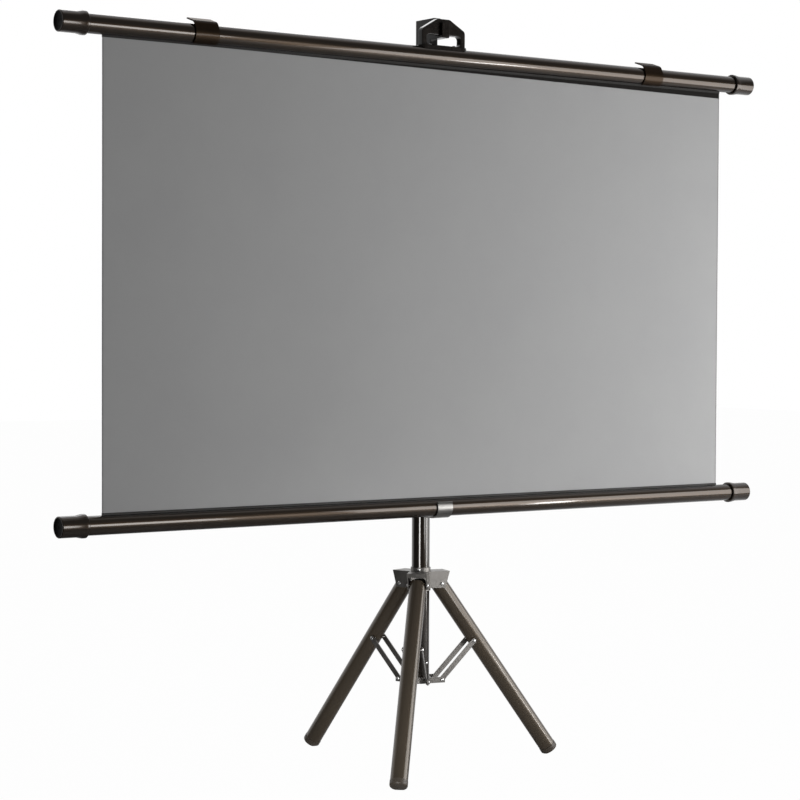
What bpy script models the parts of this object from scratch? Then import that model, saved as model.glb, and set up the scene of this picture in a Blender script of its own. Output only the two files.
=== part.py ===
"""Portable projection screen on a folding tripod.

Two slotted rods hold a flat sheet. The top rod hangs by its handle on a hook at the head of a
telescoping mast, and the bottom rod lies in a cradle clamped to the pole. Three legs fold on a
sliding hub, held apart by paired struts to a spreader at the foot of the pole.

Metres, +Z up. The origin is on the floor, on the pole's axis. The screen faces -Y.
"""

import math

import bmesh
import bpy
from mathutils import Matrix, Vector

# Screen
SHEET_WIDTH = 1.328
SHEET_HEIGHT = 0.7459
SHEET_THICK = 0.0008
SHEET_BACK = 0.0
STRIP_DROP = 0.0035
STRIP_RISE = 0.0036
STRIP_THICK = 0.0026
STRIP_BEAD_DIA = 0.007
STRIP_GRIP = 0.004
ROD_DIA = 0.031
ROD_WALL = 0.0016
ROD_OVERHANG = 0.0767
SLOT_WIDTH = 0.005
BOTTOM_AXIS_Z = 0.456
SCREEN_REACH = 0.0545

# End caps of the rods
CAP_LENGTH = 0.047
CAP_DIA = 0.0345
CAP_LIP_DIA = 0.0385
CAP_LIP_WIDTH = 0.007
CAP_FLARE = 0.010
CAP_DISH = 0.0012
CAP_END_WALL = 0.006
CAP_ROUND = 0.0014

# Hanging clips on the top rod
CLIP_INSET = 0.182
CLIP_WIDTH = 0.044
CLIP_THICK = 0.0022
CLIP_RISE = 0.008
CLIP_BEND_RADIUS = 0.010
CLIP_TAIL = 0.020

# Handle on the top rod
HANDLE_WIDTH = 0.093
HANDLE_TOP = 0.065
HANDLE_SHOULDER = 0.046
HANDLE_CROWN_WIDTH = 0.026
HANDLE_LEG_WIDTH = 0.010
HANDLE_OPEN_LOW = 0.0195
HANDLE_OPEN_HIGH = 0.037
HANDLE_THICK = 0.012
HANDLE_CORNER = 0.008
SADDLE_LENGTH = 0.100
SADDLE_WIDTH = 0.023
SADDLE_CROWN = 0.0023
HANDLE_SCREW_AT_X = 0.026
SCREW_HEAD_DIA = 0.007
SCREW_HEAD_HEIGHT = 0.002
SCREW_DIA = 0.0034
SCREW_LENGTH = 0.010

# Pole, mast and hook
POLE_DIA = 0.032
POLE_WALL = 0.0015
POLE_BOTTOM_Z = 0.1445
POLE_TOP_Z = 0.800
MAST_DIA = 0.025
MAST_WALL = 0.0012
MAST_BOTTOM_Z = 0.420
HOOK_SINK = 0.008
HOOK_WIDTH = 0.016
HOOK_RISE = 0.069
HOOK_ARM_HEIGHT = 0.0045
HOOK_LIP_THICK = 0.006
HOOK_LIP_RISE = 0.022
HOOK_COLLAR_HEIGHT = 0.006
HOOK_PLUG_LENGTH = 0.030
HOOK_ROOM = 0.007
BUSH_LENGTH = 0.024
BUSH_FLANGE = 0.010
PLUG_LENGTH = 0.018
PLUG_FLANGE = 0.003

# Clamps and knobs
CLAMP_WALL = 0.005
CLAMP_GRIP = 0.035
CLAMP_NECK = 0.026
BOSS_DIA = 0.016
BOSS_REACH = 0.012
KNOB_DIA = 0.026
KNOB_LOBE = 0.0014
KNOB_LOBES = 6
KNOB_THICK = 0.012
KNOB_SHANK_DIA = 0.006
CRADLE_WIDTH = 0.032
CRADLE_THICK = 0.0025
CRADLE_WALL = 0.0037
CRADLE_HEIGHT = 0.040
CRADLE_DROP = 0.0185
CRADLE_WRAP_DEG = 30
CRADLE_LIP = 0.004

# Tripod
FRONT_LEG_AZIMUTH_DEG = 44.4
LEG_COUNT = 3
LEG_SPREAD_DEG = 35.33
LEG_DIA = 0.030
LEG_WALL = 0.0015
LEG_PIVOT_Z = 0.3175
LEG_TOP_REACH = 0.003
FOOT_DIA = 0.031
FOOT_ROUND = 0.004
FOOT_HEAD = 0.011
FOOT_PLUG = 0.030
FOOT_FLAT = 0.0015
HUB_SLEEVE_WALL = 0.0014
HUB_BACK_WALL = 0.0006
HUB_TOP_Z = 0.347
HUB_BOTTOM_Z = 0.306
BRACKET_TOP_Z = 0.340
BRACKET_BOTTOM_Z = 0.3105
BRACKET_REACH = 0.049
BRACKET_FOOT_REACH = 0.0405
BRACKET_PLATE = 0.002
BRACKET_LIP = 0.008
HUB_RIVET_DIA = 0.0045
HUB_RIVET_HEAD_DIA = 0.0068
RIVET_HEAD_HEIGHT = 0.0018
HUB_SCREW_Z = 0.3435
HUB_SCREW_DIA = 0.003
HUB_SCREW_HEAD_DIA = 0.005
HUB_SCREW_HEAD = 0.0025
STRUT_AT = 0.121
STRUT_IN = 0.0095
STRUT_BAR_WIDTH = 0.009
STRUT_BAR_THICK = 0.002
STRUT_RIVET_DIA = 0.0038
STRUT_RIVET_HEAD_DIA = 0.0065
SPREADER_PIVOT_R = 0.034
SPREADER_PIVOT_Z = 0.1475
SPREADER_HEIGHT = 0.010
SPREADER_PLATE = 0.002
SPREADER_ARM_END = 0.0055
SPREADER_WEB = 0.010

# Rounding of moulded edges
EDGE = 0.0012

# Clearances
FIT = 0.0003
PIN_FIT = 0.0002
SIDE_FIT = 0.0005
FOLD_FIT = 0.0004

# Facets
ROUND = 32
FINE = 20
ARC_STEPS = 8

# Derived places
ROD_R = ROD_DIA / 2
ROD_BORE = ROD_R - ROD_WALL
POLE_R = POLE_DIA / 2
POLE_BORE = POLE_R - POLE_WALL
MAST_R = MAST_DIA / 2
MAST_BORE = MAST_R - MAST_WALL
LEG_R = LEG_DIA / 2
ROD_Y = -SCREEN_REACH
SHEET_Y = ROD_Y + SHEET_BACK
TOP_AXIS_Z = BOTTOM_AXIS_Z + ROD_DIA + STRIP_RISE + SHEET_HEIGHT + STRIP_DROP
ROD_HALF = SHEET_WIDTH / 2 + ROD_OVERHANG - CAP_END_WALL - FIT
MAST_TOP_Z = TOP_AXIS_Z - HOOK_SINK
SPREAD = math.radians(LEG_SPREAD_DEG)
SLEEVE_R = POLE_R + FIT + HUB_SLEEVE_WALL
LEG_PIVOT_R = SLEEVE_R + HUB_BACK_WALL + FOLD_FIT + math.hypot(LEG_R, LEG_TOP_REACH)
STRUT_INNER = LEG_R + SIDE_FIT
STRUT_OUTER = STRUT_INNER + STRUT_BAR_THICK
CHEEK_INNER = LEG_R + SIDE_FIT
CHEEK_OUTER = CHEEK_INNER + BRACKET_PLATE
STRUT_PIVOT_R = LEG_PIVOT_R + STRUT_AT * math.sin(SPREAD) - STRUT_IN * math.cos(SPREAD)
STRUT_PIVOT_Z = LEG_PIVOT_Z - STRUT_AT * math.cos(SPREAD) - STRUT_IN * math.sin(SPREAD)
STRUT_LENGTH = math.hypot(STRUT_PIVOT_R - SPREADER_PIVOT_R, STRUT_PIVOT_Z - SPREADER_PIVOT_Z)
STRUT_LEAN = math.atan2(STRUT_PIVOT_R - SPREADER_PIVOT_R, STRUT_PIVOT_Z - SPREADER_PIVOT_Z)

for old in list(bpy.data.objects):
    bpy.data.objects.remove(old, do_unlink=True)

parts = bpy.data.collections.new("tripod_projection_screen")
cutters = bpy.data.collections.new("cutters")
for group in (parts, cutters):
    bpy.context.scene.collection.children.link(group)
cutters.hide_render = True

FINISHES = {
    "rod_paint": ((0.022, 0.017, 0.014), 0.28, 0.6),
    "tube_paint": ((0.024, 0.019, 0.016), 0.26, 0.6),
    "plated_steel": ((0.55, 0.55, 0.56), 0.25, 1.0),
    "bracket_paint": ((0.045, 0.042, 0.040), 0.35, 0.7),
    "gloss_black": ((0.012, 0.011, 0.011), 0.18, 0.0),
    "matte_black": ((0.016, 0.015, 0.014), 0.55, 0.0),
    "rubber": ((0.014, 0.013, 0.012), 0.75, 0.0),
    "screen_grey": ((0.36, 0.36, 0.36), 0.85, 0.0),
}


def material_for(name, finish):
    """A Principled material for one part."""
    color, roughness, metallic = FINISHES[finish]
    made = bpy.data.materials.new(name)
    made.use_nodes = True
    shader = made.node_tree.nodes["Principled BSDF"]
    shader.inputs["Base Color"].default_value = (*color, 1.0)
    shader.inputs["Roughness"].default_value = roughness
    shader.inputs["Metallic"].default_value = metallic
    made.diffuse_color = (*color, 1.0)
    return made


def part(name, mesh, finish, parent=None):
    """A named part in the part collection."""
    made = bpy.data.objects.new(name, mesh)
    parts.objects.link(made)
    mesh.materials.append(material_for(name, finish))
    made.parent = parent
    return made


def helper(name, mesh, parent=None):
    """A solid that only cuts or joins another part."""
    made = bpy.data.objects.new(name, mesh)
    cutters.objects.link(made)
    made.hide_render = True
    made.display_type = "WIRE"
    made.parent = parent
    return made


def empty(name, location, turn_z=0.0, parent=None):
    """A frame that parts hang from."""
    made = bpy.data.objects.new(name, None)
    parts.objects.link(made)
    made.location = location
    made.rotation_euler = (0, 0, turn_z)
    made.parent = parent
    return made


def boolean(target, other, operation="DIFFERENCE"):
    step = target.modifiers.new(f"{operation.lower()}_{other.name}", "BOOLEAN")
    step.operation = operation
    step.object = other
    step.solver = "EXACT"


def smooth(made, angle_deg=32):
    made.data.shade_smooth()
    made.data.set_sharp_from_angle(angle=math.radians(angle_deg))


def cylinder_mesh(name, radius, length, segments=FINE):
    """A cylinder along Z, centred on the origin."""
    bm = bmesh.new()
    bmesh.ops.create_cone(
        bm, cap_ends=True, segments=segments, radius1=radius, radius2=radius, depth=length
    )
    mesh = bpy.data.meshes.new(name)
    bm.to_mesh(mesh)
    bm.free()
    return mesh


def box_mesh(name, low, high):
    """A box between two corners."""
    size = Vector(high) - Vector(low)
    middle = (Vector(high) + Vector(low)) / 2
    bm = bmesh.new()
    bmesh.ops.create_cube(bm, matrix=Matrix.Translation(middle) @ Matrix.Diagonal((*size, 1)))
    mesh = bpy.data.meshes.new(name)
    bm.to_mesh(mesh)
    bm.free()
    return mesh


def profile_mesh(name, profile, closed):
    """Profile points as (radius, height), joined by edges."""
    mesh = bpy.data.meshes.new(name)
    count = len(profile)
    edges = [(i, i + 1) for i in range(count - 1)]
    if closed:
        edges.append((count - 1, 0))
    mesh.from_pydata([(radius, 0, height) for radius, height in profile], edges, [])
    return mesh


def spin(made, segments=ROUND):
    """Turns a profile object round its own Z axis."""
    step = made.modifiers.new("turn", "SCREW")
    step.angle = math.tau
    step.steps = segments
    step.render_steps = segments
    step.use_merge_vertices = True
    step.merge_threshold = 0.00002
    step.use_smooth_shade = True
    return made


def turned(name, profile, finish, closed=False, parent=None, segments=ROUND):
    """A turned part. The outer side of the profile runs from top to bottom."""
    return spin(part(name, profile_mesh(name, profile, closed), finish, parent), segments)


def ring(outer, inner, top, bottom):
    """Closed profile of a plain tube."""
    return [(outer, top), (outer, bottom), (inner, bottom), (inner, top)]


def arc(centre, radius, start_deg, end_deg, steps=ARC_STEPS):
    """Points on an arc, ends included."""
    points = []
    for i in range(steps + 1):
        angle = math.radians(start_deg + (end_deg - start_deg) * i / steps)
        points.append((centre[0] + radius * math.cos(angle), centre[1] + radius * math.sin(angle)))
    return points


def rounded(corners, radius, steps=4):
    """Outline points with each corner replaced by an arc that leaves its two sides smoothly."""
    points = []
    for i, corner in enumerate(corners):
        here = Vector(corner)
        back = (Vector(corners[i - 1]) - here).normalized()
        ahead = (Vector(corners[(i + 1) % len(corners)]) - here).normalized()
        half = back.angle(ahead) / 2
        middle = here + (back + ahead).normalized() * (radius / math.sin(half))
        start = here + back * (radius / math.tan(half)) - middle
        end = here + ahead * (radius / math.tan(half)) - middle
        sweep = start.angle_signed(end)
        for k in range(steps + 1):
            turned_by = Matrix.Rotation(-sweep * k / steps, 2)
            points.append(tuple(middle + turned_by @ start))
    return points


def outline_mesh(name, outlines, thick, edge=0.0):
    """Flat outlines in XY, with holes, given a thickness along Z and rounded edges."""
    curve = bpy.data.curves.new(name, "CURVE")
    curve.dimensions = "2D"
    curve.fill_mode = "BOTH"
    curve.extrude = thick / 2 - edge
    curve.bevel_depth = edge
    curve.bevel_resolution = 1
    curve.offset = -edge
    for outline in outlines:
        spline = curve.splines.new("POLY")
        spline.points.add(len(outline) - 1)
        for point, (x, y) in zip(spline.points, outline):
            point.co = (x, y, 0, 1)
        spline.use_cyclic_u = True
    source = bpy.data.objects.new(name, curve)
    cutters.objects.link(source)
    bpy.context.view_layer.update()
    graph = bpy.context.evaluated_depsgraph_get()
    mesh = bpy.data.meshes.new_from_object(source.evaluated_get(graph))
    bpy.data.objects.remove(source, do_unlink=True)
    bm = bmesh.new()
    bm.from_mesh(mesh)
    bmesh.ops.remove_doubles(bm, verts=bm.verts, dist=0.00001)
    bmesh.ops.recalc_face_normals(bm, faces=bm.faces)
    bm.to_mesh(mesh)
    bm.free()
    mesh.name = name
    return mesh


def band_mesh(name, path, width):
    """An open strip along a path in YZ, as wide as given along X."""
    bm = bmesh.new()
    rows = []
    for y, z in path:
        rows.append([bm.verts.new((side * width / 2, y, z)) for side in (-1, 1)])
    for (a, b), (c, d) in zip(rows, rows[1:]):
        bm.faces.new((a, b, d, c))
    mesh = bpy.data.meshes.new(name)
    bm.to_mesh(mesh)
    bm.free()
    return mesh


def thicken(made, thick):
    step = made.modifiers.new("sheet", "SOLIDIFY")
    step.thickness = thick
    step.offset = 0
    step.use_even_offset = True


ALONG_X = (0, math.pi / 2, 0)
ALONG_Y = (-math.pi / 2, 0, 0)
UPRIGHT_XZ = (math.pi / 2, 0, 0)
UPRIGHT_YZ = (math.pi / 2, 0, math.pi / 2)


# The two rods: thin tubes with a slot that faces the sheet. The top one is drilled for its handle.
def slotted_rod(name, axis_z, slot_side):
    rod = turned(name, ring(ROD_R, ROD_BORE, ROD_HALF, -ROD_HALF), "rod_paint", closed=True)
    rod.location = (0, ROD_Y, axis_z)
    rod.rotation_euler = ALONG_X
    reach = sorted((0, slot_side * ROD_DIA))
    low = (-2 * ROD_HALF, -SLOT_WIDTH / 2, reach[0])
    high = (2 * ROD_HALF, SLOT_WIDTH / 2, reach[1])
    slot = helper(f"{name}_slot", box_mesh(f"{name}_slot", low, high))
    slot.location = (0, SHEET_Y, axis_z)
    boolean(rod, slot)
    return rod


top_rod = slotted_rod("top_rod", TOP_AXIS_Z, -1)
bottom_rod = slotted_rod("bottom_rod", BOTTOM_AXIS_Z, 1)


# Cups over the rod ends, with a flared lip at the mouth and a dished closed end.
def rod_cap(name, side, axis_z):
    body, lip = CAP_DIA / 2, CAP_LIP_DIA / 2
    mouth = CAP_LENGTH
    socket = ROD_R + FIT
    waist = mouth - CAP_LIP_WIDTH
    dish = body - CAP_ROUND - CAP_DISH / 2
    profile = [(0, CAP_DISH), (dish, CAP_DISH), (dish, 0)]
    profile += reversed(arc((body - CAP_ROUND, CAP_ROUND), CAP_ROUND, 0, -90, 4))
    profile += [(body, waist - CAP_FLARE), (lip, waist), (lip, mouth - CAP_ROUND)]
    profile += [(lip - CAP_ROUND, mouth), (socket, mouth), (socket, CAP_END_WALL), (0, CAP_END_WALL)]
    cap = turned(name, list(reversed(profile)), "gloss_black")
    cap.location = (side * (ROD_HALF + FIT + CAP_END_WALL), ROD_Y, axis_z)
    cap.rotation_euler = (0, -side * math.pi / 2, 0)
    return cap


for level, axis_z in (("top", TOP_AXIS_Z), ("bottom", BOTTOM_AXIS_Z)):
    for label, side in (("left", -1), ("right", 1)):
        rod_cap(f"{level}_cap_{label}", side, axis_z)


# Edge strips: a bead trapped behind each slot, a blade out of it and a groove for the sheet.
def edge_strip(name, axis_z, side, show):
    bead_r = STRIP_BEAD_DIA / 2
    half_slot = SLOT_WIDTH / 2
    shallow = math.sqrt(ROD_BORE**2 - (SHEET_BACK + half_slot) ** 2)
    seat = shallow - math.sqrt((bead_r + FIT) ** 2 - half_slot**2)
    edge = ROD_R + show
    bead = helper(f"{name}_bead", cylinder_mesh(f"{name}_bead", bead_r, SHEET_WIDTH, FINE))
    bead.location = (0, SHEET_Y, axis_z + side * seat)
    bead.rotation_euler = ALONG_X
    span = sorted((side * seat, side * edge))
    low = (-SHEET_WIDTH / 2, -STRIP_THICK / 2, span[0])
    high = (SHEET_WIDTH / 2, STRIP_THICK / 2, span[1])
    strip = part(name, box_mesh(name, low, high), "matte_black")
    strip.location = (0, SHEET_Y, axis_z)
    boolean(strip, bead, "UNION")
    groove_half = SHEET_THICK / 2 + FIT
    depth = sorted((side * (edge - STRIP_GRIP), side * (edge + STRIP_GRIP)))
    low = (-SHEET_WIDTH, -groove_half, depth[0])
    high = (SHEET_WIDTH, groove_half, depth[1])
    groove = helper(f"{name}_groove", box_mesh(f"{name}_groove", low, high))
    groove.location = strip.location
    boolean(strip, groove)
    return axis_z + side * (edge - STRIP_GRIP + FIT)


sheet_top = edge_strip("top_strip", TOP_AXIS_Z, -1, STRIP_DROP)
sheet_bottom = edge_strip("bottom_strip", BOTTOM_AXIS_Z, 1, STRIP_RISE)


# The sheet, stretched flat between the grooves of the two strips.
sheet_low = (-SHEET_WIDTH / 2, SHEET_Y - SHEET_THICK / 2, sheet_bottom)
sheet_high = (SHEET_WIDTH / 2, SHEET_Y + SHEET_THICK / 2, sheet_top)
part("sheet", box_mesh("sheet", sheet_low, sheet_high), "screen_grey")


# Hanging clips: spring bands that hug the front of the top rod, rise over it and end in a tail.
def clip_path():
    hug = ROD_R + FIT + CLIP_THICK / 2
    leave_deg = 155
    path = [(y, z) for y, z in arc((0, 0), hug, 250, leave_deg)]
    heading = math.radians(leave_deg - 90)
    y, z = path[-1]
    y += CLIP_RISE * math.cos(heading)
    z += CLIP_RISE * math.sin(heading)
    centre = (y + CLIP_BEND_RADIUS * math.sin(heading), z - CLIP_BEND_RADIUS * math.cos(heading))
    flat_deg = 90 + 18
    path += arc(centre, CLIP_BEND_RADIUS, leave_deg, flat_deg, 4)
    heading = math.radians(flat_deg - 90)
    y, z = path[-1]
    path.append((y + CLIP_TAIL * math.cos(heading), z + CLIP_TAIL * math.sin(heading)))
    return path


for label, side in (("left", -1), ("right", 1)):
    name = f"hang_clip_{label}"
    clip = part(name, band_mesh(name, clip_path(), CLIP_WIDTH), "tube_paint")
    clip.location = (side * (SHEET_WIDTH / 2 - CLIP_INSET), ROD_Y, TOP_AXIS_Z)
    thicken(clip, CLIP_THICK)
    smooth(clip)


# Handle: a fan-shaped loop on a saddle that is hollowed to the rod and held by two screws.
half = HANDLE_WIDTH / 2
crown = HANDLE_CROWN_WIDTH / 2
inside = half - HANDLE_LEG_WIDTH
foot = ROD_R - 2 * SADDLE_CROWN
loop = rounded(
    [
        (-half, foot), (-half, HANDLE_SHOULDER), (-crown, HANDLE_TOP),
        (crown, HANDLE_TOP), (half, HANDLE_SHOULDER), (half, foot),
    ],
    HANDLE_CORNER,
)
window = rounded(
    [
        (-inside, HANDLE_OPEN_LOW), (-inside, HANDLE_OPEN_HIGH),
        (inside, HANDLE_OPEN_HIGH), (inside, HANDLE_OPEN_LOW),
    ],
    0.006,
)
handle = part("handle", outline_mesh("handle", [loop, window], HANDLE_THICK, EDGE), "gloss_black")
handle.location = (0, ROD_Y, TOP_AXIS_Z)
handle.rotation_euler = UPRIGHT_XZ
long, wide = SADDLE_LENGTH / 2, SADDLE_WIDTH / 2
saddle_top = ROD_R + SADDLE_CROWN
saddle_outline = rounded([(-long, -wide), (-long, wide), (long, wide), (long, -wide)], wide * 0.9)
saddle = helper("saddle", outline_mesh("saddle", [saddle_outline], saddle_top))
saddle.location = (0, ROD_Y, TOP_AXIS_Z + saddle_top / 2)
boolean(handle, saddle, "UNION")
seat = helper("saddle_seat", cylinder_mesh("saddle_seat", ROD_R + FIT, SADDLE_LENGTH * 2, ROUND))
seat.location = (0, ROD_Y, TOP_AXIS_Z)
seat.rotation_euler = ALONG_X
boolean(handle, seat)
smooth(handle)


def dome_profile(radius, height, angles_deg):
    """Points on a low dome, from its top outwards."""
    points = []
    for angle in angles_deg:
        turn = math.radians(angle)
        points.append((radius * math.sin(turn), height * math.cos(turn)))
    return points


def screw_profile(head_dia, head_height, shank_dia, length):
    """A round-headed screw that points down, with its head's underside at height 0."""
    head, shank = head_dia / 2, shank_dia / 2
    dome = dome_profile(head, head_height, (0, 30, 60, 80))
    return dome + [(head, 0), (shank, 0), (shank, -length), (0, -length)]


screw_seat = max(saddle_top, HANDLE_OPEN_LOW) + FIT
for label, side in (("left", -1), ("right", 1)):
    name = f"handle_screw_{label}"
    screw = screw_profile(SCREW_HEAD_DIA, SCREW_HEAD_HEIGHT, SCREW_DIA, SCREW_LENGTH)
    screw = turned(name, screw, "plated_steel", segments=FINE)
    screw.location = (side * HANDLE_SCREW_AT_X, ROD_Y, TOP_AXIS_Z + screw_seat)
    drill = helper(f"{name}_drill", cylinder_mesh(name, SCREW_DIA / 2 + FIT, SCREW_LENGTH * 2, FINE))
    drill.location = screw.location
    boolean(handle, drill)
    boolean(top_rod, drill)


# Pole, and the mast that slides in it on a bush.
turned("pole", ring(POLE_R, POLE_BORE, POLE_TOP_Z, POLE_BOTTOM_Z), "tube_paint", closed=True)
turned("mast", ring(MAST_R, MAST_BORE, MAST_TOP_Z, MAST_BOTTOM_Z), "tube_paint", closed=True)
bush_out, bush_in = POLE_BORE - FIT, MAST_BORE - FIT
bush_bore = bush_in - MAST_WALL
bush_top = MAST_BOTTOM_Z - FIT
turned(
    "mast_bush",
    [
        (bush_in, bush_top + BUSH_LENGTH - BUSH_FLANGE), (bush_in, bush_top), (bush_out, bush_top),
        (bush_out, bush_top - BUSH_FLANGE), (bush_bore, bush_top - BUSH_FLANGE),
        (bush_bore, bush_top + BUSH_LENGTH - BUSH_FLANGE),
    ],
    "matte_black",
    closed=True,
)
turned(
    "pole_plug",
    [
        (0, POLE_BOTTOM_Z + PLUG_LENGTH), (POLE_BORE - FIT, POLE_BOTTOM_Z + PLUG_LENGTH),
        (POLE_BORE - FIT, POLE_BOTTOM_Z - FIT), (POLE_R, POLE_BOTTOM_Z - FIT),
        (POLE_R - PLUG_FLANGE / 2, POLE_BOTTOM_Z - FIT - PLUG_FLANGE),
        (0, POLE_BOTTOM_Z - FIT - PLUG_FLANGE),
    ],
    "matte_black",
)

# Hook: a plate that rises behind the handle, with an arm through the loop and an upturned lip.
handle_back = -SCREEN_REACH + HANDLE_THICK / 2
handle_front = -SCREEN_REACH - HANDLE_THICK / 2
arm_top = HANDLE_OPEN_HIGH - FIT
arm_low = arm_top - HOOK_ARM_HEIGHT
lip_back = handle_front - FIT
lip_front = lip_back - HOOK_LIP_THICK
lip_top = arm_top + HOOK_LIP_RISE
collar_top = HOOK_COLLAR_HEIGHT - HOOK_SINK
post = MAST_R - MAST_WALL
plate_front = -SCREEN_REACH + ROD_R + HOOK_ROOM
hook_outline = [
    (post, collar_top - FIT), (post, HOOK_RISE),
    (handle_back + 0.008, HOOK_RISE), (handle_back + FIT, HANDLE_TOP - 0.003),
    (handle_back + FIT, arm_top), (lip_back, arm_top), (lip_back, lip_top),
    (lip_front, lip_top), (lip_front, arm_low + 0.002), (lip_front + 0.002, arm_low),
    (plate_front, arm_low), (plate_front, collar_top - FIT),
]
hook = part("hook", outline_mesh("hook", [hook_outline], HOOK_WIDTH, EDGE), "gloss_black")
hook.location = (0, 0, TOP_AXIS_Z)
hook.rotation_euler = UPRIGHT_YZ
plug_r = MAST_BORE - FIT
collar_low = FIT - HOOK_SINK
stem_profile = [
    (0, collar_top), (MAST_R, collar_top), (MAST_R, collar_low), (plug_r, collar_low),
    (plug_r, collar_low - HOOK_PLUG_LENGTH), (0, collar_low - HOOK_PLUG_LENGTH),
]
stem = spin(helper("hook_stem", profile_mesh("hook_stem", stem_profile, False)))
stem.location = hook.location
boolean(hook, stem, "UNION")
smooth(hook)


def knob_outline():
    points = []
    count = KNOB_LOBES * 8
    for i in range(count):
        angle = math.tau * i / count
        radius = KNOB_DIA / 2 - KNOB_LOBE + KNOB_LOBE * math.cos(KNOB_LOBES * angle)
        points.append((radius * math.cos(angle), radius * math.sin(angle)))
    return points


def clamp_knob(name, tip_y, boss_end, z, parent):
    """A lobed knob behind a boss, on a shank that ends just short of the tube it presses."""
    knob = part(name, outline_mesh(name, [knob_outline()], KNOB_THICK, EDGE), "matte_black", parent)
    knob.location = (0, boss_end + FIT + KNOB_THICK / 2, z)
    knob.rotation_euler = ALONG_Y
    length = boss_end + FIT + KNOB_THICK / 2 - tip_y
    shank = helper(f"{name}_shank", cylinder_mesh(f"{name}_shank", KNOB_SHANK_DIA / 2, length), parent)
    shank.location = (0, tip_y + length / 2, z)
    shank.rotation_euler = ALONG_Y
    boolean(knob, shank, "UNION")
    smooth(knob)
    return knob


def boss_on(target, name, inner, boss_end, z, parent=None):
    """A round boss behind a collar, drilled for a knob's shank."""
    boss_mesh = cylinder_mesh(f"{name}_boss", BOSS_DIA / 2, boss_end - inner, FINE)
    boss = helper(f"{name}_boss", boss_mesh, parent)
    boss.location = (0, (boss_end + inner) / 2, z)
    boss.rotation_euler = ALONG_Y
    boolean(target, boss, "UNION")
    drill_r = KNOB_SHANK_DIA / 2 + FIT
    drill = helper(f"{name}_drill", cylinder_mesh(f"{name}_drill", drill_r, boss_end * 2, FINE), parent)
    drill.location = (0, boss_end, z)
    drill.rotation_euler = ALONG_Y
    boolean(target, drill)


# Mast clamp: a stepped sleeve on the pole's head that guides the mast, with its knob behind.
clamp_r = POLE_R + FIT + CLAMP_WALL
clamp_low = POLE_TOP_Z - CLAMP_GRIP
clamp_step = POLE_TOP_Z + FIT
clamp_high = POLE_TOP_Z + CLAMP_NECK
clamp = turned(
    "mast_clamp",
    [
        (clamp_r - 0.002, clamp_high), (clamp_r, clamp_high - 0.002), (clamp_r, clamp_low + 0.002),
        (clamp_r - 0.002, clamp_low), (POLE_R + FIT, clamp_low), (POLE_R + FIT, clamp_step),
        (MAST_R + FIT, clamp_step), (MAST_R + FIT, clamp_high),
    ],
    "matte_black",
    closed=True,
)
clamp_knob_z = POLE_TOP_Z + CLAMP_NECK / 2
clamp_boss_end = clamp_r + BOSS_REACH
boss_on(clamp, "mast_clamp", (MAST_R + clamp_r) / 2, clamp_boss_end, clamp_knob_z)
clamp_knob("mast_knob", MAST_R + FIT, clamp_boss_end, clamp_knob_z, None)


# Cradle: a collar on the pole with an arm that passes under the bottom rod and holds its front.
def cradle_path():
    hug = ROD_R + FIT + CRADLE_THICK / 2
    path = [(-POLE_R / 2, -hug)]
    path += arc((-SCREEN_REACH, 0), hug, 270, 180 - CRADLE_WRAP_DEG, 14)
    lean = math.radians(180 - CRADLE_WRAP_DEG)
    y, z = path[-1]
    path.append((y + CRADLE_LIP * math.cos(lean) * 0.6, z + CRADLE_LIP * math.sin(lean)))
    return path


cradle_r = POLE_R + FIT + CRADLE_WALL
cradle = part("cradle", band_mesh("cradle", cradle_path(), CRADLE_WIDTH), "bracket_paint")
cradle.location = (0, 0, BOTTOM_AXIS_Z)
thicken(cradle, CRADLE_THICK)
cradle_mid = CRADLE_HEIGHT / 2 - CRADLE_DROP
cradle_sleeve = cylinder_mesh("cradle_sleeve", cradle_r, CRADLE_HEIGHT, ROUND)
sleeve = helper("cradle_sleeve", cradle_sleeve)
sleeve.location = (0, 0, BOTTOM_AXIS_Z + cradle_mid)
boolean(cradle, sleeve, "UNION")
cradle_boss_end = cradle_r + BOSS_REACH
cradle_knob_z = BOTTOM_AXIS_Z + cradle_mid
boss_on(cradle, "cradle", 0, cradle_boss_end, cradle_knob_z)
bore = helper("cradle_bore", cylinder_mesh("cradle_bore", POLE_R + FIT, CRADLE_HEIGHT * 3, ROUND))
bore.location = sleeve.location
boolean(cradle, bore)
smooth(cradle)
clamp_knob("cradle_knob", POLE_R + FIT, cradle_boss_end, cradle_knob_z, None)


# Tripod: one upright frame per leg, with local X pointing outwards, Y along the hinge and Z up.
def leg_angle(index):
    azimuth = math.radians(FRONT_LEG_AZIMUTH_DEG) + math.tau * index / LEG_COUNT
    return math.atan2(-math.cos(azimuth), -math.sin(azimuth))


LEG_NAMES = ("front", "left", "right")
leg_frames = [empty(f"leg_frame_{n}", (0, 0, 0), leg_angle(i)) for i, n in enumerate(LEG_NAMES)]

# Hub: a sleeve on the pole with three brackets, each a top plate, two cheeks and a short lip.
hub_height = HUB_TOP_Z - HUB_BOTTOM_Z
hub = part("hub", cylinder_mesh("hub", SLEEVE_R, hub_height, ROUND), "bracket_paint")
hub.location = (0, 0, (HUB_TOP_Z + HUB_BOTTOM_Z) / 2)
slope = (BRACKET_REACH - BRACKET_FOOT_REACH) / (BRACKET_TOP_Z - BRACKET_BOTTOM_Z)
bracket_outline = [
    (0, BRACKET_TOP_Z), (BRACKET_REACH, BRACKET_TOP_Z),
    (BRACKET_FOOT_REACH, BRACKET_BOTTOM_Z), (0, BRACKET_BOTTOM_Z),
]
ceiling = BRACKET_TOP_Z - BRACKET_PLATE
lip_low = BRACKET_TOP_Z - BRACKET_LIP
back_wall = SLEEVE_R + HUB_BACK_WALL
lip_at_top = BRACKET_REACH - slope * BRACKET_PLATE - BRACKET_PLATE
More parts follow.
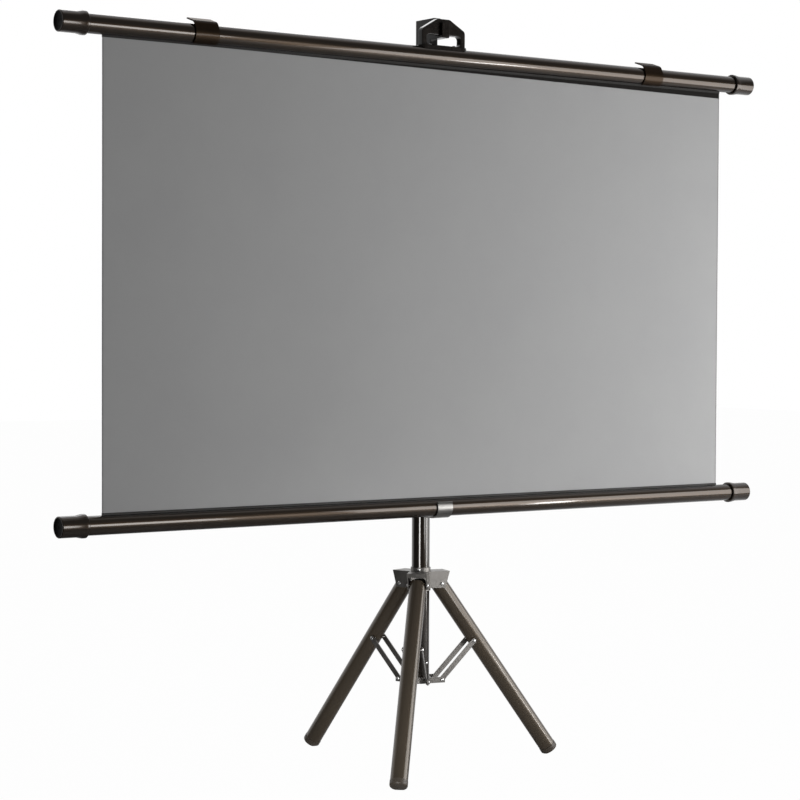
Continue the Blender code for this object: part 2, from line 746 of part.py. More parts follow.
lip_at_low = BRACKET_REACH - slope * BRACKET_LIP - BRACKET_PLATE
far, under = BRACKET_REACH * 2, HUB_BOTTOM_Z - hub_height
room_outline = [
    (back_wall, ceiling), (lip_at_top, ceiling), (lip_at_low, lip_low),
    (far, lip_low), (far, under), (back_wall, under),
]
for frame in leg_frames:
    bracket_mesh = outline_mesh("bracket", [bracket_outline], CHEEK_OUTER * 2)
    bracket = helper(f"{frame.name}_bracket", bracket_mesh, frame)
    bracket.rotation_euler = UPRIGHT_XZ
    boolean(hub, bracket, "UNION")
for frame in leg_frames:
    room = helper(f"{frame.name}_room", outline_mesh("room", [room_outline], CHEEK_INNER * 2), frame)
    room.rotation_euler = UPRIGHT_XZ
    boolean(hub, room)
    drill_r = HUB_RIVET_DIA / 2 + PIN_FIT
    drill = helper(f"{frame.name}_drill", cylinder_mesh("drill", drill_r, CHEEK_OUTER * 4), frame)
    drill.location = (LEG_PIVOT_R, 0, LEG_PIVOT_Z)
    drill.rotation_euler = ALONG_Y
    boolean(hub, drill)
hub_bore = helper("hub_bore", cylinder_mesh("hub_bore", POLE_R + FIT, hub_height * 3, ROUND))
hub_bore.location = hub.location
boolean(hub, hub_bore)
hub_screw = turned(
    "hub_screw",
    screw_profile(HUB_SCREW_HEAD_DIA, HUB_SCREW_HEAD, HUB_SCREW_DIA, HUB_SLEEVE_WALL),
    "plated_steel",
    parent=leg_frames[0],
    segments=FINE,
)
hub_screw.location = (SLEEVE_R + FIT, 0, HUB_SCREW_Z)
hub_screw.rotation_euler = ALONG_X
screw_hole_mesh = cylinder_mesh("hub_screw_hole", HUB_SCREW_DIA / 2 + FIT, SLEEVE_R)
screw_hole = helper("hub_screw_hole", screw_hole_mesh, leg_frames[0])
screw_hole.location = hub_screw.location
screw_hole.rotation_euler = ALONG_X
boolean(hub, screw_hole)
smooth(hub)


def rivet(name, shank_dia, head_dia, grip, parent):
    """A round-headed rivet along its frame's Y, with a head outside each end of its grip."""
    shank, head = shank_dia / 2, head_dia / 2
    under = grip / 2 + FIT
    dome = dome_profile(head, RIVET_HEAD_HEIGHT, (0, 40, 75))
    upper = [(radius, under + height) for radius, height in dome] + [(head, under), (shank, under)]
    profile = upper + [(radius, -height) for radius, height in reversed(upper)]
    made = turned(name, profile, "plated_steel", parent=parent, segments=FINE)
    made.rotation_euler = ALONG_Y
    return made


def foot_end():
    """How far along the leg the rounded end of its foot lies, so that the floor trims it flat."""
    disc = FOOT_DIA / 2 - FOOT_ROUND
    drop = LEG_PIVOT_Z + FOOT_FLAT - disc * math.sin(SPREAD) - FOOT_ROUND
    return drop / math.cos(SPREAD) + FOOT_ROUND


# Each leg: a tube on the hub's rivet, a rubber foot in its end and the rivet that carries the struts.
leg_low = foot_end() - FOOT_HEAD - FIT
for name, frame in zip(LEG_NAMES, leg_frames):
    hinge = empty(f"leg_hinge_{name}", (LEG_PIVOT_R, 0, LEG_PIVOT_Z), parent=frame)
    lean = empty(f"leg_lean_{name}", (0, 0, 0), parent=hinge)
    lean.rotation_euler = (0, -SPREAD, 0)

    leg_profile = ring(LEG_R, LEG_R - LEG_WALL, LEG_TOP_REACH, -leg_low)
    leg = turned(f"leg_{name}", leg_profile, "tube_paint", closed=True, parent=lean)
    for where, inward, depth, dia in (
        ("hub", 0, 0, HUB_RIVET_DIA),
        ("strut", STRUT_IN, STRUT_AT, STRUT_RIVET_DIA),
    ):
        hole_mesh = cylinder_mesh("hole", dia / 2 + PIN_FIT, LEG_DIA * 2)
        hole = helper(f"{leg.name}_{where}_hole", hole_mesh, lean)
        hole.location = (-inward, 0, -depth)
        hole.rotation_euler = ALONG_Y
        boolean(leg, hole)

    foot_r, end = FOOT_DIA / 2, foot_end()
    shoulder = -(end - FOOT_HEAD)
    plug = LEG_R - LEG_WALL - FIT
    foot_profile = [(0, shoulder + FOOT_PLUG), (plug, shoulder + FOOT_PLUG)]
    foot_profile += [(plug, shoulder), (foot_r, shoulder)]
    foot_profile += arc((foot_r - FOOT_ROUND, FOOT_ROUND - end), FOOT_ROUND, 0, -90, 5)
    foot = turned(f"foot_{name}", foot_profile + [(0, -end)], "rubber", parent=lean)
    floor = helper(f"floor_{name}", box_mesh("floor", (0, -1, -1), (1, 1, 0)), frame)
    boolean(foot, floor)

    rivet(f"hub_rivet_{name}", HUB_RIVET_DIA, HUB_RIVET_HEAD_DIA, CHEEK_OUTER * 2, hinge)
    strut_hinge = empty(f"strut_hinge_{name}", (-STRUT_IN, 0, -STRUT_AT), parent=lean)
    rivet(f"strut_rivet_{name}", STRUT_RIVET_DIA, STRUT_RIVET_HEAD_DIA, STRUT_OUTER * 2, strut_hinge)

    # Two flat bars hang from the leg's rivet, one on each side, and lean in to the spreader.
    bar_lean = empty(f"strut_lean_{name}", (0, 0, 0), parent=strut_hinge)
    bar_lean.rotation_euler = (0, SPREAD + STRUT_LEAN, 0)
    bar_r = STRUT_BAR_WIDTH / 2
    bar_outline = arc((0, 0), bar_r, 0, 180) + arc((0, -STRUT_LENGTH), bar_r, 180, 360)
    bar_hole = arc((0, 0), STRUT_RIVET_DIA / 2 + PIN_FIT, 0, 360 - 360 / FINE, FINE - 1)
    for label, side in (("a", -1), ("b", 1)):
        bar_name = f"strut_{name}_{label}"
        bar_mesh = outline_mesh(bar_name, [bar_outline, bar_hole], STRUT_BAR_THICK)
        bar = part(bar_name, bar_mesh, "bracket_paint", bar_lean)
        bar.location = (0, side * (STRUT_INNER + STRUT_BAR_THICK / 2), 0)
        bar.rotation_euler = UPRIGHT_XZ


# Spreader: a collar on the pole's foot whose arms pair up into a fork outside each leg's struts.
def spreader_outline():
    arm_in = STRUT_OUTER + SIDE_FIT
    arm_out = arm_in + SPREADER_PLATE
    tip = SPREADER_PIVOT_R + SPREADER_ARM_END
    step = math.pi / LEG_COUNT
    across = Vector((math.sin(step), -math.cos(step)))
    along = Vector((math.cos(step), math.sin(step)))
    web = SPREADER_WEB / 2
    reach = (arm_in - web * across.y) / along.y
    root = along * reach + across * web
    web_deg = math.degrees(step - math.asin(web / SLEEVE_R))
    corner = arm_out / math.tan(step)
    points = []
    for frame in reversed(leg_frames):
        sector = [(tip, -arm_out), (tip, -arm_in), (root.x, -root.y)]
        sector += arc((0, 0), SLEEVE_R, -web_deg, web_deg)
        sector += [(root.x, root.y), (tip, arm_in), (tip, arm_out), (corner, arm_out)]
        turn = Matrix.Rotation(frame.rotation_euler.z, 2)
        points += [tuple(turn @ Vector(point)) for point in sector]
    return points


bore_outline = arc((0, 0), POLE_R + FIT, 0, 360 - 360 / ROUND, ROUND - 1)
spreader_mesh = outline_mesh("spreader", [spreader_outline(), bore_outline], SPREADER_HEIGHT)
spreader = part("spreader", spreader_mesh, "bracket_paint")
spreader.location = (0, 0, SPREADER_PIVOT_Z)
smooth(spreader)

bpy.context.view_layer.update()
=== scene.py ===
import math

import bmesh
import bpy
from mathutils import Matrix, Vector


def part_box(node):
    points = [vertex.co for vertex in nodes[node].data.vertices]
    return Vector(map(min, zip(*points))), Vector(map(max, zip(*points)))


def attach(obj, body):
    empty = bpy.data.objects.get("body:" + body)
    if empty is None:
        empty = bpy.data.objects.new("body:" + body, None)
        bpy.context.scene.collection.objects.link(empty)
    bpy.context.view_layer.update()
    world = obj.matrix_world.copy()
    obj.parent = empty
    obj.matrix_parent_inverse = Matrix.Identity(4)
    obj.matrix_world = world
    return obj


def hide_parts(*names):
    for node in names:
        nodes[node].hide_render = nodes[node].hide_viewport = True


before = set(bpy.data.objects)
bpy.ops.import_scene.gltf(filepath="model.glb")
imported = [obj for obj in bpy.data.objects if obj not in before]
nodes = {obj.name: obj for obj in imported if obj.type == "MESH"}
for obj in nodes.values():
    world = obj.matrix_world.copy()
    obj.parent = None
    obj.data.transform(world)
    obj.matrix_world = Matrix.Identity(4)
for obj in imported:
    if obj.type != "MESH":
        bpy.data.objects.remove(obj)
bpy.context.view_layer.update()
legs = ("front", "left", "right")

# Camera: a 100 mm lens to the left of the screen, a little under its middle height.
# It looks slightly down and is rolled by a quarter of a degree.
eye = (-2.331, -3.1545, 0.760)
yaw, pitch, roll = (math.radians(angle) for angle in (35.91, -1.72, 0.26))
lens = bpy.data.cameras.new("camera")
lens.lens = 100
lens.sensor_width = 36
lens.clip_start = 0.05
camera = bpy.data.objects.new("camera", lens)
bpy.context.scene.collection.objects.link(camera)
turn = (
    Matrix.Rotation(-yaw, 4, "Z")
    @ Matrix.Rotation(math.pi / 2 + pitch, 4, "X")
    @ Matrix.Rotation(roll, 4, "Z")
)
camera.matrix_world = Matrix.Translation(eye) @ turn
bpy.context.scene.camera = camera
bpy.context.scene.view_settings.view_transform = "Standard"


# Rods and tubes: thin-walled tube under brown-black metallic paint, baked on.
# The rods are glossy under a clear coat, and the pole and mast are darker than the legs.
# The legs pivot in the hub, the mast slides in the pole, and the rods rest on hook and cradle.
class Value:
    """A node socket that takes part in sums."""

    def __init__(self, tree, socket):
        self.tree = tree
        self.socket = socket

    def math(self, operation, first, second):
        step = self.tree.nodes.new("ShaderNodeMath")
        step.operation = operation
        for plug, value in zip(step.inputs, (first, second)):
            connect(self.tree, value, plug)
        return Value(self.tree, step.outputs[0])

    def __add__(self, other):
        return self.math("ADD", self, other)

    def __radd__(self, other):
        return self.math("ADD", other, self)

    def __sub__(self, other):
        return self.math("SUBTRACT", self, other)

    def __rsub__(self, other):
        return self.math("SUBTRACT", other, self)

    def __mul__(self, other):
        return self.math("MULTIPLY", self, other)

    def __rmul__(self, other):
        return self.math("MULTIPLY", other, self)


def connect(tree, value, plug):
    """Links a value to a socket, or sets the socket to a number or a colour."""
    if isinstance(value, Value):
        tree.links.new(value.socket, plug)
    else:
        plug.default_value = value


class Nodes:
    """A shader's node tree, whose nodes are added by one method."""

    def __init__(self, tree):
        self.tree = tree

    def node(self, kind, settings=None, out=0, **sockets):
        """Makes a node. A socket is named, or numbered as in i0 where names repeat."""
        made = self.tree.nodes.new("ShaderNode" + kind)
        for key, value in (settings or {}).items():
            if key == "stops":
                for element, (place, shade) in zip(made.color_ramp.elements, value):
                    element.position = place
                    element.color = (*shade, 1)
            else:
                setattr(made, key, value)
        for key, value in sockets.items():
            numbered = key[1:].isdigit()
            connect(self.tree, value, made.inputs[int(key[1:]) if numbered else key.replace("_", " ")])
        return Value(self.tree, made.outputs[out])

    def place(self, scale=(1, 1, 1)):
        return self.node("Mapping", Vector=self.node("TexCoord", out="Object"), Scale=scale)

    def noise(self, scale, detail=3.0, stretch=(1, 1, 1), rough=0.55):
        return self.node(
            "TexNoise", Vector=self.place(stretch), Scale=scale, Detail=detail, Roughness=rough
        )

    def ramp(self, value, *stops):
        return self.node("ValToRGB", {"stops": stops}, Fac=value)

    def level(self, value, low, high, to_low, to_high):
        return self.node(
            "MapRange", Value=value, From_Min=low, From_Max=high, To_Min=to_low, To_Max=to_high
        )

    def mix(self, factor, first, second):
        return self.node("Mix", {"data_type": "RGBA"}, out=2, i0=factor, i6=first, i7=second)


class Finish(Nodes):
    """One material, with its fixed values on the shader's own sockets."""

    def __init__(self, name, **fixed):
        self.material = bpy.data.materials.new(name)
        self.material.use_nodes = True
        super().__init__(self.material.node_tree)
        self.shader = self.tree.nodes["Principled BSDF"]
        for socket, value in fixed.items():
            self.shader.inputs[socket.replace("_", " ")].default_value = value

    def feed(self, **sockets):
        for key, value in sockets.items():
            self.tree.links.new(value.socket, self.shader.inputs[key.replace("_", " ")])

    def bump(self, height, distance):
        self.feed(Normal=self.node("Bump", Height=height, Distance=distance))


def baked_paint(name, deep, pale, sheen, coat, metal=0.9, coat_blur=0.06):
    """Metallic paint with a cloudy tone, fine flecks and a faint orange peel."""
    paint = Finish(
        name, Metallic=metal, Specular_IOR_Level=0.3, Specular_Tint=(0.3, 0.24, 0.18, 1),
        Coat_Weight=coat, Coat_Roughness=coat_blur,
    )
    cloud = paint.noise(5)
    fleck = paint.noise(900, 2)
    tone = paint.ramp(cloud, (0.3, deep), (0.7, pale))
    lifted = tuple(1.5 * c for c in pale)
    paint.feed(
        Base_Color=paint.mix(paint.level(fleck, 0.5, 0.8, 0.0, 0.15), tone, (*lifted, 1)),
        Roughness=paint.level(cloud, 0.3, 0.7, sheen - 0.03, sheen + 0.04),
    )
    paint.bump(paint.noise(1300, 2), 0.000006)
    return paint.material


weld_distance = 0.000005
crease_angle = math.radians(26)
rounding = bpy.data.node_groups.new("smooth_by_angle", "GeometryNodeTree")
for way in ("INPUT", "OUTPUT"):
    rounding.interface.new_socket("Geometry", in_out=way, socket_type="NodeSocketGeometry")
chain = [
    rounding.nodes.new(kind)
    for kind in (
        "NodeGroupInput", "GeometryNodeMergeByDistance", "GeometryNodeRemoveAttribute",
        "GeometryNodeSetShadeSmooth", "GeometryNodeSetShadeSmooth", "NodeGroupOutput",
    )
]
for first, second in zip(chain, chain[1:]):
    rounding.links.new(first.outputs[0], second.inputs[0])
weld, drop_normals, sharpen = chain[1], chain[2], chain[4]
weld.inputs["Distance"].default_value = weld_distance
drop_normals.inputs["Name"].default_value = "custom_normal"
sharpen.domain = "EDGE"
sharpen.inputs["Shade Smooth"].default_value = False
crease = rounding.nodes.new("FunctionNodeCompare")
crease.operation = "GREATER_THAN"
crease.inputs[1].default_value = crease_angle
edge_angle = rounding.nodes.new("GeometryNodeInputMeshEdgeAngle")
rounding.links.new(edge_angle.outputs[0], crease.inputs[0])
rounding.links.new(crease.outputs[0], sharpen.inputs["Selection"])


def dress(material, *names):
    """Gives CAD nodes their finish and smooth shading between creases."""
    for name in names:
        node = nodes[name]
        node.data.materials.clear()
        node.data.materials.append(material)
        node.modifiers.new("smooth", "NODES").node_group = rounding
        weigh = node.modifiers.new("weigh", "WEIGHTED_NORMAL")
        weigh.mode = "FACE_AREA_WITH_ANGLE"
        weigh.keep_sharp = True


rod_paint = baked_paint(
    "rod_paint", (0.028, 0.0180, 0.0107), (0.035, 0.0230, 0.0138), sheen=0.3, coat=0.9, coat_blur=0.07
)
tube_paint = baked_paint(
    "tube_paint", (0.060, 0.0472, 0.0338), (0.071, 0.0560, 0.0400), sheen=0.24, coat=0.6, metal=0.25
)
pole_paint = baked_paint(
    "pole_paint", (0.014, 0.0112, 0.0085), (0.019, 0.0152, 0.0117), sheen=0.24, coat=0.9, metal=0.25
)
dress(rod_paint, "top_rod", "bottom_rod")
dress(tube_paint, *(f"leg_{leg}" for leg in legs))
dress(pole_paint, "pole", "mast")

# Rod caps: moulded cups pressed over the rod ends, lacquered in the rods' brown-black.
# Each has a flared lip at its mouth and a dished end.
cap_gloss = baked_paint(
    "cap_gloss", (0.024, 0.0155, 0.0093), (0.031, 0.0203, 0.0122), sheen=0.3, coat=0.9, coat_blur=0.12
)
caps = ("top_cap_left", "top_cap_right", "bottom_cap_left", "bottom_cap_right")
dress(cap_gloss, *caps)

# Cap plugs: matt black discs set in the dished ends, with a raised rim and a gate mark.
# Their near-black is also painted shade, standing in for the dark of the dished ends.
# They are moulded in the same grainy black as the knobs and sit a hair clear of the dish.
grainy = Finish("knob_matte", Specular_IOR_Level=0.03)
spark = grainy.noise(1100)
patch = grainy.noise(30)
grainy.feed(
    Base_Color=grainy.ramp(patch, (0.3, (0.0042, 0.0038, 0.0036)), (0.75, (0.0085, 0.0078, 0.0072))),
    Roughness=grainy.level(spark, 0.3, 0.7, 0.5, 0.68),
)
grainy.bump(spark, 0.00012)


def turn_profile(target, profile, spot, facing, steps=40):
    """Adds a solid turned about the facing direction, with its base at the spot."""
    solid = bmesh.new()
    line = [solid.verts.new((radius, 0, height)) for radius, height in profile]
    edges = [solid.edges.new(pair) for pair in zip(line, line[1:])]
    bmesh.ops.spin(
        solid, geom=line + edges, cent=(0, 0, 0), axis=(0, 0, 1),
        angle=math.tau, steps=steps, use_merge=True,
    )
    bmesh.ops.remove_doubles(solid, verts=solid.verts, dist=weld_distance)
    bmesh.ops.recalc_face_normals(solid, faces=solid.faces)
    aim = Vector(facing).to_track_quat("Z", "Y").to_matrix().to_4x4()
    bmesh.ops.transform(solid, matrix=Matrix.Translation(spot) @ aim, verts=solid.verts)
    made = bpy.data.meshes.new("turned")
    solid.to_mesh(made)
    solid.free()
    target.from_mesh(made)
    bpy.data.meshes.remove(made)


turned_crease = math.radians(35)


def piece(name, source, material, body):
    """Makes a finished piece out of collected solids."""
    data = bpy.data.meshes.new(name)
    source.to_mesh(data)
    source.free()
    data.shade_smooth()
    data.set_sharp_from_angle(angle=turned_crease)
    data.materials.append(material)
    made = bpy.data.objects.new(name, data)
    bpy.context.scene.collection.objects.link(made)
    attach(made, body)


def corners(name):
    """The low and the high corner of a CAD node's box."""
    return [Vector(corner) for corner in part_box(name)]


shade_plug_depth = 0.0011
shade_plug_profile = [
    (0, 0.0008), (0.0018, 0.0008), (0.0022, 0.0005), (0.0122, 0.0005),
    (0.0128, 0.0009), (0.0146, 0.0009), (0.015, 0.0006), (0.015, 0), (0, 0),
]
shade_plugs = bmesh.new()
for cap in caps:
    low, high = corners(cap)
    side, end = (-1, low.x) if cap.endswith("left") else (1, high.x)
    spot = (end - side * shade_plug_depth, (low.y + high.y) / 2, (low.z + high.z) / 2)
    turn_profile(shade_plugs, shade_plug_profile, spot, (side, 0, 0))
# These near-black discs also stand in for the shade in the dished cap ends.
piece("cap_shade_plugs", shade_plugs, grainy.material, "screen")

# Edge strips: black extruded edging that grips the sheet and slides into the rod's slot.
# Its die lines run lengthwise, and the skin is matt with a slight grey bloom.
strip_edge = Finish("strip_black", Specular_IOR_Level=0.3)
die_line = strip_edge.noise(220, stretch=(0.02, 1, 1))
bloom = strip_edge.noise(24)
strip_edge.feed(
    Base_Color=strip_edge.ramp(bloom, (0.3, (0.0085, 0.0075, 0.0065)), (0.75, (0.0145, 0.013, 0.0115))),
    Roughness=strip_edge.level(bloom, 0.3, 0.7, 0.5, 0.66),
)
strip_edge.bump(die_line, 0.00008)
dress(strip_edge.material, "top_strip", "bottom_strip")

# Screen sheet: coated projection cloth held in the grooves of the two edge strips.
# The viewing side is matt grey with a fine weave and a black border at the top, which leans.
# The back has a black coating.
low, high = corners("sheet")
sheet_width, sheet_height = high.x - low.x, high.z - low.z
ripple_depth, ripples_across, ripple_start, ripples_up = 0.0005, 23, 1.3, 5
edge_hold = 0.7
sheet_mesh = bmesh.new()
bmesh.ops.create_grid(sheet_mesh, x_segments=96, y_segments=56, size=0.5)
stand_up = (
    Matrix.Translation((0, (low.y + high.y) / 2, (low.z + high.z) / 2))
    @ Matrix.Rotation(math.pi / 2, 4, "X")
    @ Matrix.Diagonal((sheet_width, sheet_height, 1, 1))
)
bmesh.ops.transform(sheet_mesh, matrix=stand_up, verts=sheet_mesh.verts)
for vert in sheet_mesh.verts:
    across = vert.co.x / sheet_width
    up = (vert.co.z - low.z) / sheet_height
    loose = max(0.0, math.sin(math.pi * up)) ** edge_hold
    ripple = ripple_depth * math.sin(ripples_across * across + ripple_start) * math.sin(ripples_up * up)
    vert.co.y += loose * ripple
sheet_data = bpy.data.meshes.new("screen_sheet")
sheet_mesh.to_mesh(sheet_data)
sheet_mesh.free()
screen_sheet = bpy.data.objects.new("screen_sheet", sheet_data)
bpy.context.scene.collection.objects.link(screen_sheet)

threads = 420.0
border_depth, border_lean, border_blur = 0.0075, -0.0089, 0.0004
hem_inner, hem_outer = 0.0026, 0.0018
cloth = Finish("screen_fabric", Specular_IOR_Level=0.15)
mottle = cloth.noise(9, 4)
warp, weft = (
    cloth.node("TexWave", {"bands_direction": way}, Vector=cloth.place(), Scale=threads) for way in "XZ"
)
weave = warp * 0.5 + weft * 0.5
pick = cloth.noise(900, 2)
tone = cloth.ramp(mottle, (0.3, (0.374, 0.374, 0.376)), (0.7, (0.388, 0.388, 0.388)))
grey = cloth.mix(weave * 0.1 + pick * 0.08, tone, (0.28, 0.28, 0.28, 1))
here = cloth.node("TexCoord", out="Object")
sideways = cloth.node("SeparateXYZ", Vector=here)
upward = cloth.node("SeparateXYZ", out="Z", Vector=here)
border_from = high.z - border_depth
border = cloth.level(
    upward - sideways * border_lean, border_from - border_blur, border_from + border_blur, 0.0, 1.0
)
off_middle = cloth.node("Math", {"operation": "ABSOLUTE"}, i0=sideways)
hem = cloth.level(off_middle, high.x - hem_inner, high.x - hem_outer, 0.0, 0.45)
hemmed = cloth.mix(hem, grey, (0.09, 0.09, 0.09, 1))
cloth.feed(
    Base_Color=cloth.mix(border, hemmed, (0.011, 0.010, 0.009, 1)),
    Roughness=cloth.level(pick, 0.3, 0.7, 0.82, 0.96),
)
cloth.bump(weave * 0.6 + pick * 0.4, 0.00008)
backing = Finish("screen_backing", Specular_IOR_Level=0.3)
stipple = backing.noise(700)
backing.feed(
    Base_Color=backing.ramp(stipple, (0.3, (0.008, 0.008, 0.008)), (0.8, (0.019, 0.019, 0.02))),
    Roughness=backing.level(stipple, 0.3, 0.7, 0.55, 0.75),
)
backing.bump(stipple, 0.00006)
sheet_data.materials.append(cloth.material)
sheet_data.materials.append(backing.material)
wall = screen_sheet.modifiers.new("wall", "SOLIDIFY")
wall.thickness = high.y - low.y
wall.offset = 0
wall.material_offset = 1
wall.material_offset_rim = 0
screen_sheet.modifiers.new("smooth", "NODES").node_group = rounding
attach(screen_sheet, "screen")
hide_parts("sheet")

# Hanging clips: bent spring-steel bands snapped over the top rod.
# They have the rod's brown-black paint with hardly any clear coat, so they are duller than the rod.
clip_paint = baked_paint(
    "clip_paint", (0.025, 0.0162, 0.0097), (0.031, 0.0203, 0.0122), sheen=0.4, coat=0.15
)
dress(clip_paint, "hang_clip_left", "hang_clip_right")

# Handle and hook: black mouldings with a high gloss and a brown cast, lightly scuffed.
# The handle is screwed to the rod, and the hook's stem is pressed into the mast.
moulded = Finish("handle_gloss", Specular_IOR_Level=0.12, Coat_Weight=0.3, Coat_Roughness=0.04)
scuff = moulded.noise(55, 4, rough=0.65)
moulded.feed(
    Base_Color=moulded.ramp(scuff, (0.35, (0.0085, 0.0064, 0.0050)), (0.8, (0.0165, 0.0128, 0.0100))),
    Roughness=moulded.level(scuff, 0.3, 0.75, 0.16, 0.32),
)
moulded.bump(moulded.noise(800, 2), 0.00003)
dress(moulded.material, "handle", "hook")

# Clamp, knobs and inner plastics: black moulding with a fine spark-eroded grain.
# They are matt, so only their edges catch the light. The clamp grips the mast at the pole's top.
dress(grainy.material, "mast_clamp", "mast_knob", "cradle_knob", "mast_bush", "pole_plug")

# Knob inserts: ridged black buttons pressed into the back of each clamping knob.
# They turn with the knob, and the rings on their face give a finger grip.
insert_gap = 0.0001
button_profile = [
    (0, 0.001), (0.0022, 0.001), (0.0026, 0.0006), (0.0034, 0.0006), (0.0038, 0.001),
    (0.0052, 0.001), (0.0056, 0.0006), (0.0064, 0.0006), (0.0068, 0.001), (0.0078, 0.0009),
    (0.0083, 0.0004), (0.0083, 0), (0, 0),
]
for knob in ("mast_knob", "cradle_knob"):
    low, high = corners(knob)
    spot = ((low.x + high.x) / 2, high.y + insert_gap, (low.z + high.z) / 2)
    button = bmesh.new()
    turn_profile(button, button_profile, spot, (0, 1, 0))
    piece(f"{knob}_insert", button, moulded.material, knob)

# Cradle: bright steel, a collar on the pole with an arm that passes under the bottom rod.
# Fine scratches run along X and the surface dulls in patches. A knob at the back clamps it.
brushed = Finish("cradle_metal", Metallic=1.0)
scratch = brushed.noise(70, 4, (0.15, 9, 9), 0.7)
dull = brushed.noise(40)
brushed.feed(
    Base_Color=brushed.ramp(scratch, (0.3, (0.14, 0.135, 0.128)), (0.7, (0.23, 0.222, 0.212))),
    Roughness=brushed.level(dull, 0.3, 0.7, 0.26, 0.42),
)
brushed.bump(scratch, 0.00003)
dress(brushed.material, "cradle")

# Hub, spreader and struts: pressed sheet steel with a dark grey plated finish, riveted together.
# The plating clouds from patch to patch, and fine rolling marks cross it.
plating = Finish("bracket_metal", Metallic=0.9)
haze = plating.noise(45, 4)
rolled = plating.noise(320, stretch=(1, 1, 0.12))
clouded = haze * 0.85 + rolled * 0.15
plating.feed(
    Base_Color=plating.ramp(clouded, (0.32, (0.150, 0.142, 0.133)), (0.7, (0.205, 0.195, 0.184))),
    Roughness=plating.level(haze, 0.3, 0.72, 0.32, 0.44),
)
plating.bump(rolled, 0.000008)
dress(plating.material, "hub", "spreader")
for leg in legs:
    dress(plating.material, f"strut_{leg}_a", f"strut_{leg}_b")

# Feet: moulded caps of hard dark rubber plugged into the leg ends, paler near the floor with dust
# and a painted reflection of the white floor. The rubber has a low gloss and a fine skin texture.
dust_and_sheen_low, dust_and_sheen_high = 0.002, 0.012
rubber = Finish("foot_rubber", Specular_IOR_Level=0.3)
skin = rubber.noise(500, 4)
above_floor = rubber.node("SeparateXYZ", out="Z", Vector=rubber.node("TexCoord", out="Object"))
# Paler towards the floor: dust, and a painted reflection of the white floor.
dust_and_floor_sheen = rubber.level(above_floor + skin * 0.006, dust_and_sheen_low, dust_and_sheen_high, 0.35, 0.0)
dark = rubber.ramp(skin, (0.3, (0.0560, 0.0460, 0.0360)), (0.75, (0.0740, 0.0610, 0.0480)))
rubber.feed(
    Base_Color=rubber.mix(dust_and_floor_sheen, dark, (0.075, 0.066, 0.056, 1)),
    Roughness=rubber.level(skin, 0.3, 0.7, 0.3, 0.42),
)
rubber.bump(skin, 0.00005)
dress(rubber.material, *(f"foot_{leg}" for leg in legs))

# Rivets and screws: bright zinc plate, set with round heads.
# The plate is slightly uneven, as tumbled hardware is.
zinc = Finish("plated_steel", Metallic=1.0)
tumble = zinc.noise(350, 4)
zinc.feed(
    Base_Color=zinc.ramp(tumble, (0.3, (0.5, 0.5, 0.5)), (0.7, (0.74, 0.735, 0.72))),
    Roughness=zinc.level(tumble, 0.3, 0.7, 0.16, 0.32),
)
zinc.bump(tumble, 0.00003)
dress(zinc.material, "hub_screw", "handle_screw_left", "handle_screw_right")
for leg in legs:
    dress(zinc.material, f"hub_rivet_{leg}", f"strut_rivet_{leg}")


# Spreader rivets: round-headed rivets through the six arms, where the struts pivot.
# Each bright head sits on the outside of its arm with a hair's gap.
def round_head(radius, rise, sunk=0.0):
    """A rivet head's profile, from its crown to the middle of its underside."""
    dome = [(radius * math.sin(a), rise * math.cos(a)) for a in (0, 0.35, 0.7, 1.05, 1.35)]
    return dome + [(radius, -sunk), (0, -sunk)]


rivet_steps = 24
front_leg_turn = math.radians(44.4)
arm_reach, arm_face, arm_height = 0.034, 0.0201, 0.1475
heads = bmesh.new()
for index in range(len(legs)):
    azimuth = front_leg_turn + math.tau * index / len(legs)
    outward = Vector((-math.sin(azimuth), -math.cos(azimuth), 0))
    along = Vector((-outward.y, outward.x, 0))
    for side in (-1, 1):
        spot = outward * arm_reach + along * side * arm_face + Vector((0, 0, arm_height))
        turn_profile(heads, round_head(0.0033, 0.0019), spot, along * side, rivet_steps)
piece("spreader_rivets", heads, zinc.material, "stand")

# Pole rivet: a bright dome on the front of the pole, above the spreader.
# It fixes the plug inside the pole's foot.
rivet_reach, rivet_height = 0.01655, 0.178
facing = Vector((0.10, -0.995, 0)).normalized()
spot = facing * rivet_reach + Vector((0, 0, rivet_height))
rivet = bmesh.new()
turn_profile(rivet, round_head(0.003, 0.0018, 0.0003), spot, facing, rivet_steps)
piece("pole_rivet", rivet, zinc.material, "stand")

# Studio: a wide pale floor and a world that the camera sees as white.
# Glossy rays find that white only behind the object, so the dark paint isn't washed out.
# Broad panels light the sheet more on the right, and small low lamps reach the pole and the legs.
away_x, away_y = 0.59, 0.81


def depth(shader, place):
    """How far a place lies from the pole, or a direction points, away from the camera."""
    sideways = shader.node("SeparateXYZ", Vector=place)
    inward = shader.node("SeparateXYZ", out="Y", Vector=place)
    return sideways * away_x + inward * away_y


def white_share(shader, for_glossy):
    """How much white a ray finds: all if from the camera or transmitted, a share if glossy."""
    from_camera, transmitted, glossy = (
        shader.node("LightPath", out=f"Is {kind} Ray") for kind in ("Camera", "Transmission", "Glossy")
    )
    return from_camera + transmitted + glossy * for_glossy


def show_blend(shader, factor, first, second, output):
    """Mixes two shaders and shows the result at the tree's output."""
    blend = shader.node("MixShader", i0=factor, i1=first, i2=second)
    shader.tree.links.new(blend.socket, shader.tree.nodes[output].inputs[0])


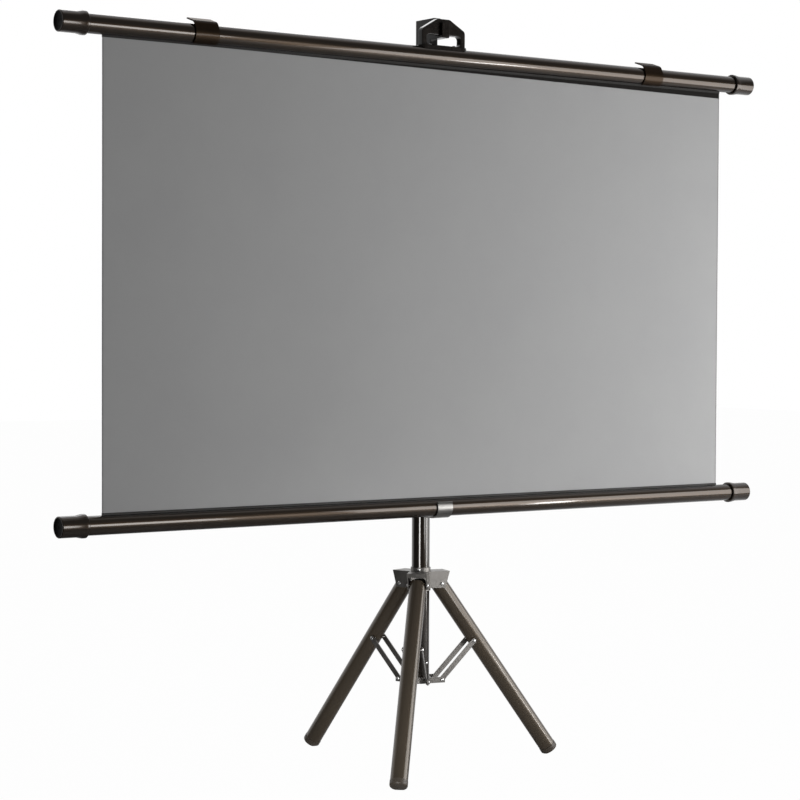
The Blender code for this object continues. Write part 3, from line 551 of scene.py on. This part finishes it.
floor_half, floor_gap = 14, 0.0005
floor_mesh = bmesh.new()
bmesh.ops.create_grid(floor_mesh, x_segments=1, y_segments=1, size=floor_half)
floor_data = bpy.data.meshes.new("floor")
floor_mesh.to_mesh(floor_data)
floor_mesh.free()
floor = bpy.data.objects.new("floor", floor_data)
floor.location.z = -floor_gap
bpy.context.scene.collection.objects.link(floor)
pale = Finish("pale_floor", Base_Color=(0.7, 0.7, 0.7, 1), Roughness=0.9, Specular_IOR_Level=0.1)
sweep = pale.level(depth(pale, pale.node("TexCoord", out="Object")), 0.1, 1.2, 0.0, 1.0)
show_blend(
    pale,
    pale.level(white_share(pale, sweep), 0.0, 1.0, 0.0, 0.985),
    Value(pale.tree, pale.shader.outputs[0]),
    pale.node("Emission", Color=(1, 1, 1, 1), Strength=1.0),
    "Material Output",
)
floor_data.materials.append(pale.material)

world = bpy.data.worlds.new("studio")
bpy.context.scene.world = world
world.use_nodes = True
sky = Nodes(world.node_tree)
dim = sky.tree.nodes["Background"]
dim.inputs["Color"].default_value = (1, 1, 1, 1)
dim.inputs["Strength"].default_value = 0.03
behind = sky.level(depth(sky, sky.node("TexCoord", out="Generated")), 0.0, 0.4, 0.15, 1.0)
show_blend(
    sky,
    white_share(sky, behind),
    Value(sky.tree, dim.outputs[0]),
    sky.node("Background", Color=(1, 1, 1, 1), Strength=1.0),
    "World Output",
)


def lamp(name, place, aim, size, radiance, spread_deg=180):
    """Adds a rectangular lamp of an even brightness that faces the aim."""
    light = bpy.data.lights.new(name, "AREA")
    light.shape = "RECTANGLE"
    light.size, light.size_y = size
    light.energy = radiance * math.pi * size[0] * size[1]
    light.spread = math.radians(spread_deg)
    made = bpy.data.objects.new(name, light)
    bpy.context.scene.collection.objects.link(made)
    made.location = place
    made.rotation_euler = (Vector(aim) - Vector(place)).to_track_quat("-Z", "Y").to_euler()


lamp("panel_right", (1.5, -1.2, 0.7), (0.3, 0.0, 0.75), (1.5, 1.1), 4.2)
lamp("panel_left", (1.05, -2.75, 0.7), (-0.3, 0.0, 0.7), (1.9, 1.1), 0.9)
lamp("core_left", (0.75, -2.7, 0.6), (-0.45, 0.0, 0.6), (0.72, 0.95), 7.6)
lamp("strip_low", (1.45, -1.5, 0.26), (0.0, 0.0, 0.25), (0.1, 0.5), 26.0)
lamp("fill_low", (-1.0, -0.85, 0.2), (-0.04, 0.02, 0.1), (0.35, 0.3), 1.7, 40)
lamp("back_top", (0.6, 2.6, 2.6), (0, 0, 0.8), (2.0, 1.0), 1.6)
